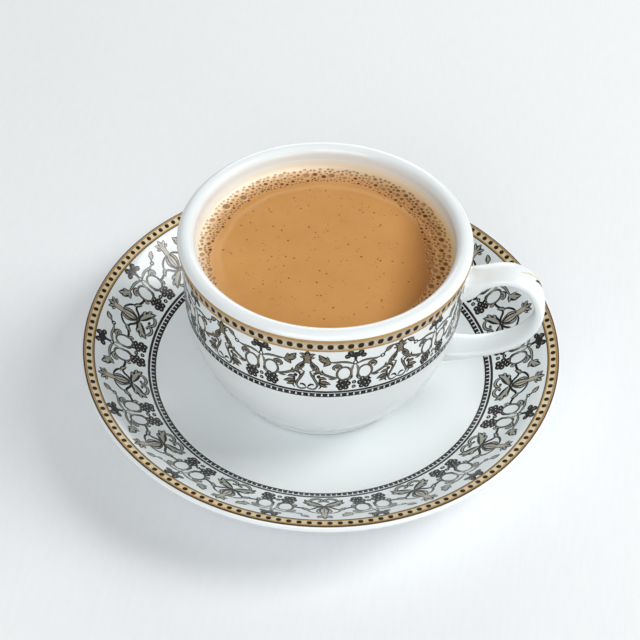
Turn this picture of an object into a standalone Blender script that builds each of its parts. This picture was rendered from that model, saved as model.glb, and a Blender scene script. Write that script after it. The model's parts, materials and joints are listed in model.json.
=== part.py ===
"""A filled teacup on its saucer: thick glazed porcelain with a strap handle, and milky spiced tea up to its level.

Metres, +Z up. The origin is on the saucer's axis, in the plane that its foot stands on, and the cup's handle
points along +X.
"""

import math

import bmesh
import bpy
from mathutils import Vector

MM = 0.001

# Saucer
SAUCER_RADIUS = 72.1 * MM
SAUCER_HEIGHT = 20.4 * MM
SAUCER_WELL_Z = 4.9 * MM
SAUCER_WALL = 3.0 * MM
SAUCER_FOOT_RADIUS = 39.0 * MM
SAUCER_FOOT_WIDTH = 3.4 * MM
SAUCER_FOOT_HEIGHT = 2.0 * MM

# Cup
CUP_STANDS_AT = SAUCER_WELL_Z + 0.3 * MM
CUP_RIM_RADIUS = 41.7 * MM
CUP_TOP_Z = 61.6 * MM
CUP_FOOT_RADIUS = 27.7 * MM
CUP_FOOT_HEIGHT = 2.3 * MM
LIP_THICKNESS = 4.9 * MM
LIP_HEIGHT = 2.2 * MM
CUP_FLOOR_Z = 11.6 * MM

# Handle: a flat strap, bent in the plane through the cup's axis
STRAP_WIDTH = 9.0 * MM
STRAP_THICKNESS = 3.2 * MM
STRAP_CORNER = 2.6  # exponent of the section's rounded corners, where 2 is an ellipse

# Tea
TEA_LEVEL = 54.6 * MM
TEA_GAP = 0.3 * MM
MENISCUS_HEIGHT = 0.35 * MM
MENISCUS_WIDTH = 1.6 * MM

TURNED_STEPS = 60
STRAP_SIDES = 16


def clear_scene():
    for obj in list(bpy.data.objects):
        bpy.data.objects.remove(obj, do_unlink=True)


def new_collection(name):
    collection = bpy.data.collections.new(name)
    bpy.context.scene.collection.children.link(collection)
    return collection


def material(name, colour, roughness, metallic=0.0, coat=0.0):
    made = bpy.data.materials.new(name)
    made.use_nodes = True
    shader = made.node_tree.nodes["Principled BSDF"]
    shader.inputs["Base Color"].default_value = (*colour, 1.0)
    shader.inputs["Roughness"].default_value = roughness
    shader.inputs["Metallic"].default_value = metallic
    shader.inputs["Coat Weight"].default_value = coat
    return made


def smooth_path(points, steps):
    """A Catmull-Rom curve through the points, each stretch between two of them cut into this many steps."""
    first = [2 * a - b for a, b in zip(points[0], points[1])]
    last = [2 * a - b for a, b in zip(points[-1], points[-2])]
    held = [first, *points, last]
    path = []
    for before, start, end, after in zip(held, held[1:], held[2:], held[3:]):
        for step in range(steps):
            t = step / steps
            path.append(tuple(
                0.5 * (2 * b + (c - a) * t + (2 * a - 5 * b + 4 * c - d) * t * t + (3 * b - a - 3 * c + d) * t ** 3)
                for a, b, c, d in zip(before, start, end, after)
            ))
    path.append(tuple(points[-1]))
    return path


def arc(centre, radii, start, end, steps):
    """Points of an ellipse's arc, from one angle to another, in degrees from +X towards +Z."""
    angles = [math.radians(start + (end - start) * step / steps) for step in range(steps + 1)]
    return [(centre[0] + radii[0] * math.cos(a), centre[1] + radii[1] * math.sin(a)) for a in angles]


def offset_inwards(path, gap):
    """The (radius, height) path moved by the gap along its normal, towards the axis and up."""
    moved = []
    for index, (radius, height) in enumerate(path):
        before = path[max(index - 1, 0)]
        after = path[min(index + 1, len(path) - 1)]
        run = Vector((after[0] - before[0], after[1] - before[1])).normalized()
        moved.append((max(radius - run.y * gap, 0.0), height + run.x * gap))
    return moved


def turned_solid(name, profile, made_of, collection):
    """A closed solid turned about Z from a profile that starts and ends on the axis and runs down its outer side."""
    mesh = bpy.data.meshes.new(name)
    edges = [(i, i + 1) for i in range(len(profile) - 1)]
    mesh.from_pydata([(radius, 0.0, height) for radius, height in profile], edges, [])
    obj = bpy.data.objects.new(name, mesh)
    collection.objects.link(obj)
    mesh.materials.append(made_of)
    screw = obj.modifiers.new("Turned", "SCREW")
    screw.steps = TURNED_STEPS
    screw.render_steps = TURNED_STEPS
    screw.use_merge_vertices = True
    screw.merge_threshold = 0.00001
    screw.use_smooth_shade = True
    return obj


def saucer_profile():
    top = smooth_path([
        (0.0, SAUCER_WELL_Z),
        (30.0 * MM, SAUCER_WELL_Z),
        (42.0 * MM, 5.5 * MM),
        (50.8 * MM, 7.6 * MM),
        (60.3 * MM, 12.9 * MM),
        (67.0 * MM, 18.3 * MM),
        (71.1 * MM, SAUCER_HEIGHT),
    ], 2)
    edge_height = 1.1 * MM
    edge = arc((SAUCER_RADIUS - 0.9 * MM, SAUCER_HEIGHT - edge_height), (0.9 * MM, edge_height), 80, -70, 5)
    foot_outside = SAUCER_FOOT_RADIUS + SAUCER_FOOT_WIDTH / 2
    foot_inside = SAUCER_FOOT_RADIUS - SAUCER_FOOT_WIDTH / 2
    below = smooth_path([
        (68.6 * MM, 16.3 * MM),
        (61.4 * MM, 12.9 * MM - SAUCER_WALL),
        (51.8 * MM, 7.6 * MM - SAUCER_WALL),
        (43.0 * MM, SAUCER_FOOT_HEIGHT + 0.3 * MM),
    ], 2)
    foot = [
        (foot_outside + 0.5 * MM, SAUCER_FOOT_HEIGHT - 0.4 * MM),
        (foot_outside, 0.3 * MM),
        (foot_outside - 0.4 * MM, 0.0),
        (foot_inside + 0.4 * MM, 0.0),
        (foot_inside, 0.3 * MM),
        (foot_inside - 0.5 * MM, SAUCER_FOOT_HEIGHT - 0.4 * MM),
        (foot_inside - 1.6 * MM, SAUCER_FOOT_HEIGHT),
        (0.0, SAUCER_FOOT_HEIGHT),
    ]
    return top + edge + below + foot


def cup_inner_path():
    """The inside of the cup, from the middle of its floor up to where the lip begins."""
    lip_inside = CUP_RIM_RADIUS - LIP_THICKNESS
    return smooth_path([
        (0.0, CUP_FLOOR_Z),
        (16.0 * MM, CUP_FLOOR_Z + 0.2 * MM),
        (26.5 * MM, CUP_FLOOR_Z + 3.6 * MM),
        (32.6 * MM, 22.4 * MM),
        (35.4 * MM, 31.0 * MM),
        (36.3 * MM, 40.0 * MM),
        (36.6 * MM, 50.0 * MM),
        (lip_inside, CUP_TOP_Z - LIP_HEIGHT),
    ], 2)


def cup_profile():
    lip_middle = (CUP_RIM_RADIUS - LIP_THICKNESS / 2, CUP_TOP_Z - LIP_HEIGHT)
    lip = arc(lip_middle, (LIP_THICKNESS / 2, LIP_HEIGHT), 165, 15, 8)
    outside = smooth_path([
        (CUP_RIM_RADIUS, CUP_TOP_Z - LIP_HEIGHT),
        (41.0 * MM, 56.4 * MM),
        (40.7 * MM, 47.0 * MM),
        (40.4 * MM, 38.0 * MM),
        (39.3 * MM, 30.0 * MM),
        (37.4 * MM, 23.0 * MM),
        (34.9 * MM, 17.0 * MM),
        (31.6 * MM, 12.0 * MM),
        (CUP_FOOT_RADIUS + 0.4 * MM, CUP_STANDS_AT + CUP_FOOT_HEIGHT),
    ], 2)
    foot = [
        (CUP_FOOT_RADIUS, CUP_STANDS_AT + 0.5 * MM),
        (CUP_FOOT_RADIUS - 0.6 * MM, CUP_STANDS_AT),
        (CUP_FOOT_RADIUS - 2.6 * MM, CUP_STANDS_AT),
        (CUP_FOOT_RADIUS - 3.2 * MM, CUP_STANDS_AT + 0.5 * MM),
        (CUP_FOOT_RADIUS - 4.2 * MM, CUP_STANDS_AT + CUP_FOOT_HEIGHT),
        (0.0, CUP_STANDS_AT + CUP_FOOT_HEIGHT + 0.4 * MM),
    ]
    return cup_inner_path() + lip + outside + foot


def strap_stations():
    """(radius, height, half width, half thickness) along the strap, from its upper root round to its lower one."""
    half_width = STRAP_WIDTH / 2
    half_thickness = STRAP_THICKNESS / 2
    return smooth_path([
        (38.6 * MM, 48.2 * MM, 1.25 * half_width, 3.1 * half_thickness),
        (41.8 * MM, 49.2 * MM, 1.12 * half_width, 2.5 * half_thickness),
        (45.2 * MM, 51.6 * MM, 1.02 * half_width, 1.4 * half_thickness),
        (49.5 * MM, 53.7 * MM, half_width, half_thickness),
        (54.0 * MM, 54.1 * MM, 0.97 * half_width, half_thickness),
        (58.4 * MM, 51.9 * MM, 0.92 * half_width, 0.95 * half_thickness),
        (61.5 * MM, 46.9 * MM, 0.86 * half_width, 0.95 * half_thickness),
        (62.6 * MM, 41.0 * MM, 0.84 * half_width, 0.95 * half_thickness),
        (61.2 * MM, 35.2 * MM, 0.86 * half_width, 0.95 * half_thickness),
        (57.3 * MM, 29.9 * MM, 0.9 * half_width, half_thickness),
        (51.5 * MM, 26.1 * MM, 0.94 * half_width, half_thickness),
        (45.5 * MM, 23.7 * MM, 0.98 * half_width, 1.1 * half_thickness),
        (39.5 * MM, 22.2 * MM, 1.1 * half_width, 1.5 * half_thickness),
        (35.6 * MM, 21.8 * MM, 1.2 * half_width, 1.9 * half_thickness),
    ], 3)


def rounded(value, power):
    return math.copysign(abs(value) ** power, value)


def strap_solid(name, collection):
    """The strap as one closed loft, its sections square to its path."""
    stations = strap_stations()
    mesh = bpy.data.meshes.new(name)
    shape = bmesh.new()
    rings = []
    for index, (radius, height, half_width, half_thickness) in enumerate(stations):
        before = stations[max(index - 1, 0)]
        after = stations[min(index + 1, len(stations) - 1)]
        along = Vector((after[0] - before[0], 0.0, after[1] - before[1])).normalized()
        outward = Vector((-along.z, 0.0, along.x))
        ring = []
        for side in range(STRAP_SIDES):
            angle = 2 * math.pi * side / STRAP_SIDES
            across = half_width * rounded(math.cos(angle), 2 / STRAP_CORNER)
            out = half_thickness * rounded(math.sin(angle), 2 / STRAP_CORNER)
            ring.append(shape.verts.new(Vector((radius, 0.0, height)) + outward * out + Vector((0.0, across, 0.0))))
        rings.append(ring)
    for ring, following in zip(rings, rings[1:]):
        for side in range(STRAP_SIDES):
            beside = (side + 1) % STRAP_SIDES
            shape.faces.new((ring[side], ring[beside], following[beside], following[side]))
    shape.faces.new(rings[0])
    shape.faces.new(rings[-1])
    bmesh.ops.recalc_face_normals(shape, faces=shape.faces)
    shape.to_mesh(mesh)
    shape.free()
    obj = bpy.data.objects.new(name, mesh)
    collection.objects.link(obj)
    obj.hide_render = True
    obj.display_type = "WIRE"
    return obj


def make_saucer(collection, porcelain):
    return turned_solid("saucer", saucer_profile(), porcelain, collection)


def make_cup(collection, helpers, porcelain):
    """The cup's turned body with its strap handle joined on, as one solid."""
    cup = turned_solid("cup", cup_profile(), porcelain, collection)
    strap = strap_solid("handle_strap", helpers)
    joined = cup.modifiers.new("Handle", "BOOLEAN")
    joined.operation = "UNION"
    joined.solver = "EXACT"
    joined.object = strap
    return cup


def tea_profile():
    """The tea, a gap inside the cup's wall, with its surface drawn up a little where it meets the porcelain."""
    wall = offset_inwards(cup_inner_path(), TEA_GAP)
    below = [point for point in wall if point[1] < TEA_LEVEL - MM]
    edge = below[-1][0] + 0.02 * MM
    surface = [
        (0.0, TEA_LEVEL),
        (edge - 7.0 * MM, TEA_LEVEL),
        (edge - MENISCUS_WIDTH, TEA_LEVEL + 0.2 * MENISCUS_HEIGHT),
        (edge - 0.4 * MENISCUS_WIDTH, TEA_LEVEL + 0.6 * MENISCUS_HEIGHT),
        (edge, TEA_LEVEL + MENISCUS_HEIGHT),
    ]
    down = below[::-1]
    down[-1] = (0.0, down[-1][1])
    return surface + down


def make_tea(collection, tea):
    return turned_solid("chai", tea_profile(), tea, collection)


def main():
    clear_scene()
    parts = new_collection("masala_chai")
    helpers = new_collection("helpers")
    porcelain = material("glazed_porcelain", (0.86, 0.88, 0.87), 0.12, coat=0.5)
    milky_tea = material("milky_tea", (0.58, 0.29, 0.10), 0.28)
    make_saucer(parts, porcelain)
    make_cup(parts, helpers, porcelain)
    make_tea(parts, milky_tea)


main()
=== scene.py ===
# %% [markdown]
# Masala chai in its cup and saucer
#
# This lesson dresses a finished CAD model of a filled teacup. The CAD gives the exact sizes: a saucer, a
# cup with its strap handle, and the tea as a solid. Here each of them gets a finer mesh of the same form, a
# printed border is laid on the porcelain, the tea gets its froth and spice, and a camera and soft lights
# make the picture. The imported model is loaded first.

# %% Load the imported model
import json
import math
import random
from bisect import bisect_right

import bpy
from mathutils import Matrix, Vector

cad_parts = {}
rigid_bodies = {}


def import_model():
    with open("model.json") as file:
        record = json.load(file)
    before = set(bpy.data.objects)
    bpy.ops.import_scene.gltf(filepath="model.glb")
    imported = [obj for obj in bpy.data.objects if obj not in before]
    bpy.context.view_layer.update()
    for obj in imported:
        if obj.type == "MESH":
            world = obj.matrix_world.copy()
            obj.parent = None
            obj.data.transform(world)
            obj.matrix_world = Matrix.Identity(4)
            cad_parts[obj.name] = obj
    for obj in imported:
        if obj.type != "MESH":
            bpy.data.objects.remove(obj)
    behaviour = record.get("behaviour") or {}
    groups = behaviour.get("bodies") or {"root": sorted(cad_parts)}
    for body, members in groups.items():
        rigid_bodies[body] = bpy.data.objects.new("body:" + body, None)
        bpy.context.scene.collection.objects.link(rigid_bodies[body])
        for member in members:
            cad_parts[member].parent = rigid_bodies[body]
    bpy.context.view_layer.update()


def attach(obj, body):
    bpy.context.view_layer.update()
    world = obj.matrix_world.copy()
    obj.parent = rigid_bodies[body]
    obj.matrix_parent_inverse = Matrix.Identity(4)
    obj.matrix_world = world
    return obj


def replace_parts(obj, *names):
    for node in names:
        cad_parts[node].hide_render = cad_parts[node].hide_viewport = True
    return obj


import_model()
MM = 0.001


# %% [markdown]
# Paths and turned shapes
#
# Porcelain like this is thrown or pressed round one axis, so its whole form is in half a section. That
# section is drawn as a smooth path through a few measured points. A lathe in Blender can be the Screw
# modifier or the Spin operator. Spin is used here, because it is what one would do by hand: a single vertex
# is extruded from point to point, then the path is spun round the axis and its doubles are merged.

# %% Smooth paths
def smooth_path(points, steps):
    """A smooth cubic curve through the points, with this many steps between each two of them."""
    first = [2 * a - b for a, b in zip(points[0], points[1])]
    last = [2 * a - b for a, b in zip(points[-1], points[-2])]
    held = [first, *points, last]
    path = []
    for before, start, end, after in zip(held, held[1:], held[2:], held[3:]):
        for step in range(steps):
            t = step / steps
            path.append(tuple(
                0.5 * (2 * b + (c - a) * t + (2 * a - 5 * b + 4 * c - d) * t * t
                       + (3 * b - a - 3 * c + d) * t ** 3)
                for a, b, c, d in zip(before, start, end, after)
            ))
    path.append(tuple(points[-1]))
    return path


def arc(centre, radii, start, end, steps):
    """Points of an ellipse's arc, from one angle to another, in degrees."""
    angles = [math.radians(start + (end - start) * step / steps) for step in range(steps + 1)]
    return [(centre[0] + radii[0] * math.cos(a), centre[1] + radii[1] * math.sin(a)) for a in angles]


# %% A lathe from operators
TURNED_STEPS = 256
MERGE_DISTANCE = 0.001 * MM


def deselect_everything():
    if bpy.context.mode != "OBJECT":
        bpy.ops.object.mode_set(mode="OBJECT")
    bpy.ops.object.select_all(action="DESELECT")


def edit(obj):
    """Puts one object alone in edit mode with all of it selected."""
    deselect_everything()
    bpy.context.view_layer.objects.active = obj
    obj.select_set(True)
    bpy.ops.object.mode_set(mode="EDIT")
    bpy.ops.mesh.select_all(action="SELECT")


def close_up(obj):
    """Merges doubles, turns the faces outwards and shades them smoothly."""
    edit(obj)
    bpy.ops.mesh.remove_doubles(threshold=MERGE_DISTANCE)
    bpy.ops.mesh.normals_make_consistent(inside=False)
    bpy.ops.mesh.faces_shade_smooth()
    deselect_everything()


def turned(name, profile, steps=TURNED_STEPS):
    """A body turned round Z from a section of (radius, height) points."""
    deselect_everything()
    bpy.ops.mesh.primitive_plane_add(size=MM)
    obj = bpy.context.active_object
    obj.name = name
    obj.data.name = name
    edit(obj)
    bpy.ops.mesh.merge(type="CENTER")
    bpy.ops.transform.translate(value=(profile[0][0], 0, profile[0][1]))
    for (radius, height), (next_radius, next_height) in zip(profile, profile[1:]):
        move = {"value": (next_radius - radius, 0, next_height - height)}
        bpy.ops.mesh.extrude_region_move(TRANSFORM_OT_translate=move)
    bpy.ops.mesh.select_all(action="SELECT")
    bpy.ops.mesh.spin(steps=steps, angle=2 * math.pi, center=(0, 0, 0), axis=(0, 0, 1))
    close_up(obj)
    print(name, "turned with", len(obj.data.polygons), "faces")
    return obj


def in_metres(points):
    return [tuple(value * MM for value in point) for point in points]


# %% [markdown]
# The saucer
#
# The real saucer is pressed porcelain: a flat well, a border that rises in a gentle S, a rounded edge and a
# foot ring below. All sizes are in millimetres and repeat the CAD model's. The top path is kept by itself,
# because the printed border lies on it later.

# %% Saucer
SAUCER_RADIUS = 72.1
SAUCER_HEIGHT = 20.4
SAUCER_WELL_Z = 4.9
SAUCER_FOOT_TOP = 2.0
SAUCER_FOOT = (37.3, 40.7)

saucer_top = smooth_path([
    (0.0, SAUCER_WELL_Z),
    (30.0, SAUCER_WELL_Z),
    (42.0, 5.5),
    (50.8, 7.6),
    (60.3, 12.9),
    (67.0, 18.3),
    (71.1, SAUCER_HEIGHT),
], 6)
saucer_edge = arc((SAUCER_RADIUS - 0.9, SAUCER_HEIGHT - 1.1), (0.9, 1.1), 80, -70, 12)
saucer_below = smooth_path([(68.6, 16.3), (61.4, 9.9), (51.8, 4.6), (43.0, SAUCER_FOOT_TOP + 0.3)], 5)
foot_inside, foot_outside = SAUCER_FOOT
saucer_foot = smooth_path([
    (foot_outside + 0.5, SAUCER_FOOT_TOP - 0.4),
    (foot_outside, 0.3),
    (foot_outside - 0.4, 0.0),
    (foot_inside + 0.4, 0.0),
    (foot_inside, 0.3),
    (foot_inside - 0.5, SAUCER_FOOT_TOP - 0.4),
    (foot_inside - 1.6, SAUCER_FOOT_TOP),
], 1) + [(0.0, SAUCER_FOOT_TOP)]
saucer = turned("glazed_saucer", in_metres(saucer_top + saucer_edge + saucer_below + saucer_foot))

# %% [markdown]
# The cup
#
# The cup's wall is thick, with a rounded lip, and its inside is a smooth bowl. Outside it runs down in one
# long curve to a small foot ring. The lip is an ellipse between the inner and the outer path. The outer
# path is kept too, for the border.

# %% Cup body
CUP_RIM_RADIUS = 41.7
CUP_TOP_Z = 61.6
LIP_THICKNESS = 4.9
LIP_HEIGHT = 2.2
LIP_BASE_Z = CUP_TOP_Z - LIP_HEIGHT
CUP_STANDS_AT = 5.2

cup_inside = smooth_path([
    (0.0, 11.6),
    (16.0, 11.8),
    (26.5, 15.2),
    (32.6, 22.4),
    (35.4, 31.0),
    (36.3, 40.0),
    (36.6, 50.0),
    (CUP_RIM_RADIUS - LIP_THICKNESS, LIP_BASE_Z),
], 6)
cup_lip = arc((CUP_RIM_RADIUS - LIP_THICKNESS / 2, LIP_BASE_Z), (LIP_THICKNESS / 2, LIP_HEIGHT), 172, 8, 20)
cup_outside = smooth_path([
    (CUP_RIM_RADIUS, LIP_BASE_Z),
    (41.0, 56.4),
    (40.7, 47.0),
    (40.4, 38.0),
    (39.3, 30.0),
    (37.4, 23.0),
    (34.9, 17.0),
    (31.6, 12.0),
    (28.1, CUP_STANDS_AT + 2.3),
], 6)
cup_foot = [
    (27.7, CUP_STANDS_AT + 0.5),
    (27.5, CUP_STANDS_AT + 0.15),
    (27.1, CUP_STANDS_AT),
    (25.1, CUP_STANDS_AT),
    (24.5, CUP_STANDS_AT + 0.5),
    (23.5, CUP_STANDS_AT + 2.3),
    (0.0, CUP_STANDS_AT + 2.7),
]
cup = turned("glazed_cup", in_metres(cup_inside + cup_lip + cup_outside + cup_foot))

# %% [markdown]
# The handle
#
# The handle is a flat strap with rounded edges, bent in one plane, and it widens where it was luted to the
# cup. A curve with a bevel would give one section all along. Here the section changes, so a grid is rolled
# up instead: its columns go round the section and its rows follow the strap's path. The strap is then
# joined to the cup with a Boolean modifier, and the seam is smoothed as the glaze rounds it.

# %% Strap handle
STRAP_HALF_WIDTH = 4.5
STRAP_HALF_THICKNESS = 1.6
STRAP_SIDES = 40
SECTION_EXPONENT = 2.6

strap_path = smooth_path([
    (38.6, 48.2, 1.25, 3.1),
    (41.8, 49.2, 1.12, 2.5),
    (45.2, 51.6, 1.02, 1.4),
    (49.5, 53.7, 1.0, 1.0),
    (54.0, 54.1, 0.97, 1.0),
    (58.4, 51.9, 0.92, 0.95),
    (61.5, 46.9, 0.86, 0.95),
    (62.6, 41.0, 0.84, 0.95),
    (61.2, 35.2, 0.86, 0.95),
    (57.3, 29.9, 0.9, 1.0),
    (51.5, 26.1, 0.94, 1.0),
    (45.5, 23.7, 0.98, 1.1),
    (39.5, 22.2, 1.1, 1.5),
    (35.6, 21.8, 1.2, 1.9),
], 5)


def strap_frame(index):
    """The middle of one section, and its unit vectors across and out from the path."""
    before = strap_path[max(index - 1, 0)]
    after = strap_path[min(index + 1, len(strap_path) - 1)]
    along = Vector((after[0] - before[0], 0, after[1] - before[1])).normalized()
    middle = Vector((strap_path[index][0], 0, strap_path[index][1]))
    return middle, Vector((0, 1, 0)), Vector((-along.z, 0, along.x))


def strap_point(index, angle, lift=0.0):
    """A point on the strap's skin, in metres: the section is an ellipse with its corners filled out."""
    middle, across, out = strap_frame(index)
    power = 2 / SECTION_EXPONENT
    sideways, through = math.cos(angle), math.sin(angle)
    width_share, thickness_share = strap_path[index][2:]
    wide = math.copysign(abs(sideways) ** power, sideways) * width_share * STRAP_HALF_WIDTH
    thick = math.copysign(abs(through) ** power, through) * thickness_share * STRAP_HALF_THICKNESS
    return (middle + across * wide + out * (thick + lift)) * MM


bpy.ops.mesh.primitive_grid_add(x_subdivisions=STRAP_SIDES, y_subdivisions=len(strap_path) - 1, size=0.01)
strap = bpy.context.active_object
for number, vertex in enumerate(strap.data.vertices):
    row, column = divmod(number, STRAP_SIDES + 1)
    vertex.co = strap_point(row, 2 * math.pi * (column % STRAP_SIDES) / STRAP_SIDES)
edit(strap)
bpy.ops.mesh.remove_doubles(threshold=MERGE_DISTANCE)
bpy.ops.mesh.fill_holes(sides=0)
close_up(strap)


# %% Join the handle to the cup
SEAM_ANGLE = math.radians(24)
SEAM_PLACE_X = 33.0 * MM


def apply_modifier(obj, kind, name, **settings):
    deselect_everything()
    bpy.context.view_layer.objects.active = obj
    modifier = obj.modifiers.new(name, kind)
    for key, value in settings.items():
        setattr(modifier, key, value)
    bpy.ops.object.modifier_apply(modifier=name)


apply_modifier(cup, "BOOLEAN", "Handle", operation="UNION", solver="EXACT", object=strap)
bpy.data.objects.remove(strap, do_unlink=True)
edit(cup)
bpy.ops.mesh.select_all(action="DESELECT")
bpy.ops.mesh.select_mode(type="EDGE")
bpy.ops.mesh.edges_select_sharp(sharpness=SEAM_ANGLE)
bpy.ops.object.mode_set(mode="OBJECT")
for vertex in cup.data.vertices:
    if vertex.co.x < SEAM_PLACE_X or vertex.co.z > LIP_BASE_Z * MM:
        vertex.select = False
for edge in cup.data.edges:
    edge.select = all(cup.data.vertices[i].select for i in edge.vertices)
for face in cup.data.polygons:
    face.select = False
bpy.ops.object.mode_set(mode="EDIT")
bpy.ops.mesh.select_mode(type="VERT")
bpy.ops.mesh.select_more()
bpy.ops.mesh.vertices_smooth(factor=0.5, repeat=5)
bpy.ops.object.mode_set(mode="OBJECT")
print("cup with handle:", len(cup.data.polygons), "faces")

# %% [markdown]
# The tea
#
# The tea fills the cup to its level. In the CAD it stops short of the wall, because the parts may not
# touch. In the picture that gap would show as a line, so this piece reaches a quarter of a millimetre into
# the wall. At its edge it climbs, and a thin milky film goes a little further up the porcelain, as froth
# leaves it when the tea settles.

# %% Tea
TEA_LEVEL = 54.6
INTO_WALL = 0.25
FILM_TOP = 58.2
TEA_EDGE = 36.7
WALL_FROM_Z = 20
TEA_STEPS = 192

# The meniscus is given as radii and rises over the level, and the film as radii and drops below its top.
MENISCUS = [(34.0, 0.02), (35.0, 0.07), (35.8, 0.2), (36.25, 0.42), (36.5, 0.75), (36.62, 1.2), (36.7, 1.7)]
FILM = [(36.73, 1.2), (36.745, 0.7), (36.77, 0.35), (36.84, 0.0)]
TEA_BOTTOM = [(24.0, 14.4), (0.0, 12.6)]

open_tea = [(0.0, TEA_LEVEL)]
open_tea += [(radius, TEA_LEVEL) for radius in range(2, 34, 2)]
open_tea += [(radius, TEA_LEVEL + rise) for radius, rise in MENISCUS]
tea_film = [(radius, FILM_TOP - drop) for radius, drop in FILM]
tea_wall = [(radius + INTO_WALL, z) for radius, z in cup_inside if WALL_FROM_Z < z < TEA_LEVEL - 1]
tea_section = open_tea + tea_film
tea_section += [(TEA_EDGE + 0.35, FILM_TOP), (TEA_EDGE + 0.3, TEA_LEVEL)]
tea_section += tea_wall[::-1] + TEA_BOTTOM
tea = turned("milky_tea", in_metres(tea_section), TEA_STEPS)

# %% [markdown]
# How the printed border is made
#
# The border is a transfer print under the glaze: a foliate scroll between a dotted gold band and a line of
# beads. An image texture would do it in other work. Here every line and leaf is real geometry, a ribbon a
# few hundredths of a millimetre proud with its keel sunk in the glaze, so that it stays sharp and goes with
# the mesh. Thousands of strokes on a curved wall can't be drawn by hand with operators, so this one step is
# mesh code. A stroke is drawn flat, in millimetres: u goes round the pot, and v goes from the bead line
# towards the gold band. Then it is wrapped on the path of the cup's or the saucer's section.

# %% Strokes drawn flat
STROKE_STEP = 0.62
SMOOTH_STEPS = 8
LAYER_LIFT = 0.012
FIRST_LIFT = 0.016
KEEL_DEPTH = 0.09
LINE_WEIGHT = 1.75
LEAF_WEIGHT = 1.42
LINE_CORE = 0.36
LEAF_CORE = 0.4
OVAL_CORE = 0.34


def resampled(points, step):
    """The smooth curve through the points, cut at an even spacing close to the step."""
    fine = smooth_path(points, SMOOTH_STEPS) if len(points) > 2 else list(points)
    lengths = [0.0]
    for a, b in zip(fine, fine[1:]):
        lengths.append(lengths[-1] + math.dist(a, b))
    count = max(3, math.ceil(lengths[-1] / step))
    even = []
    for index in range(count + 1):
        goal = lengths[-1] * index / count
        place = min(bisect_right(lengths, goal) - 1, len(fine) - 2)
        part = (goal - lengths[place]) / max(lengths[place + 1] - lengths[place], 1e-9)
        even.append(tuple(a + (b - a) * part for a, b in zip(fine[place], fine[place + 1])))
    return even


def stroke(ink, layer, points, half_widths, closed=False):
    return {"ink": ink, "layer": layer, "points": points, "half_widths": half_widths, "closed": closed}


def line(ink, layer, points, width, tip=0.45):
    """A drawn line, a little thinner at its ends."""
    path = resampled(points, STROKE_STEP)
    last = len(path) - 1
    full = width * LINE_WEIGHT / 2
    widths = [full * (tip + (1 - tip) * min(1.0, 4 * min(i, last - i) / last)) for i in range(last + 1)]
    return [stroke(ink, layer, path, widths)]


def leaf(ink, layer, points, width, fullest=0.45):
    """A leaf or bud: pointed at both ends and fullest where asked."""
    path = resampled(points, STROKE_STEP)
    last = len(path) - 1
    bend = math.log(0.5) / math.log(fullest)
    full = width * LEAF_WEIGHT / 2
    widths = [full * math.sin(math.pi * (i / last) ** bend) ** 0.8 for i in range(1, last)]
    return [stroke(ink, layer, path, [0.02, *widths, 0.02])]


def edged_leaf(points, width, fullest=0.45, layer=0):
    """A black leaf with an olive one on it, so that a dark edge is left."""
    inner = [tuple(a + (b - a) * 0.12 for a, b in zip(points[0], points[1])), *points[1:-1],
             tuple(a + (b - a) * 0.18 for a, b in zip(points[-1], points[-2]))]
    core = leaf("olive", layer + 1, inner, width * LEAF_CORE, fullest)
    return leaf("black", layer, points, width, fullest) + core


def double_line(points, width, core="olive", layer=0):
    """A black line with a lighter core."""
    return line("black", layer, points, width) + line(core, layer + 1, points, width * LINE_CORE, 0.3)


def ring(ink, layer, centre, radii, width, steps=10):
    circle = arc(centre, radii, 0, 360, steps)[:-1]
    return [stroke(ink, layer, circle, [width / 2] * steps, closed=True)]


def spot(ink, layer, centre, radii, corner=0.38, shoulder=0.72):
    """An oval spot, as a short ribbon whose width follows an ellipse."""
    places = (-1.0, -0.72, 0.0, 0.72, 1.0)
    widths = (corner, shoulder, 1.0, shoulder, corner)
    path = [(centre[0], centre[1] + radii[1] * place) for place in places]
    return [stroke(ink, layer, path, [radii[0] * width for width in widths])]


def dot(ink, layer, centre, radius):
    return spot(ink, layer, centre, (radius, radius))


def recoloured(strokes, old_ink, new_ink):
    return [{**s, "ink": new_ink if s["ink"] == old_ink else s["ink"]} for s in strokes]


def flipped(strokes):
    return [{**s, "points": [(-u, v) for u, v in s["points"]]} for s in strokes]


def raised(strokes, height):
    return [{**s, "points": [(u, v + height) for u, v in s["points"]]} for s in strokes]


def both_sides(strokes):
    return strokes + flipped(strokes)


# %% [markdown]
# The motifs
#
# The border repeats two things in turn: a pair of white ovals with a cluster of berries above and florets
# below, and a palmette. On the cup the palmette is a bell under a little crown. On the saucer it is a heart
# between two leaf wings, with a tulip above. They are the stock of old foliate borders, and they are drawn
# afresh here in a few curves each. Each is drawn about a middle of its own and then raised to its place,
# and where it is even, one side is drawn and mirrored.

# %% The pair of ovals
OVAL_PLACE = 2.85
KNOT_ABOVE_OVAL = 4.2


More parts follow.
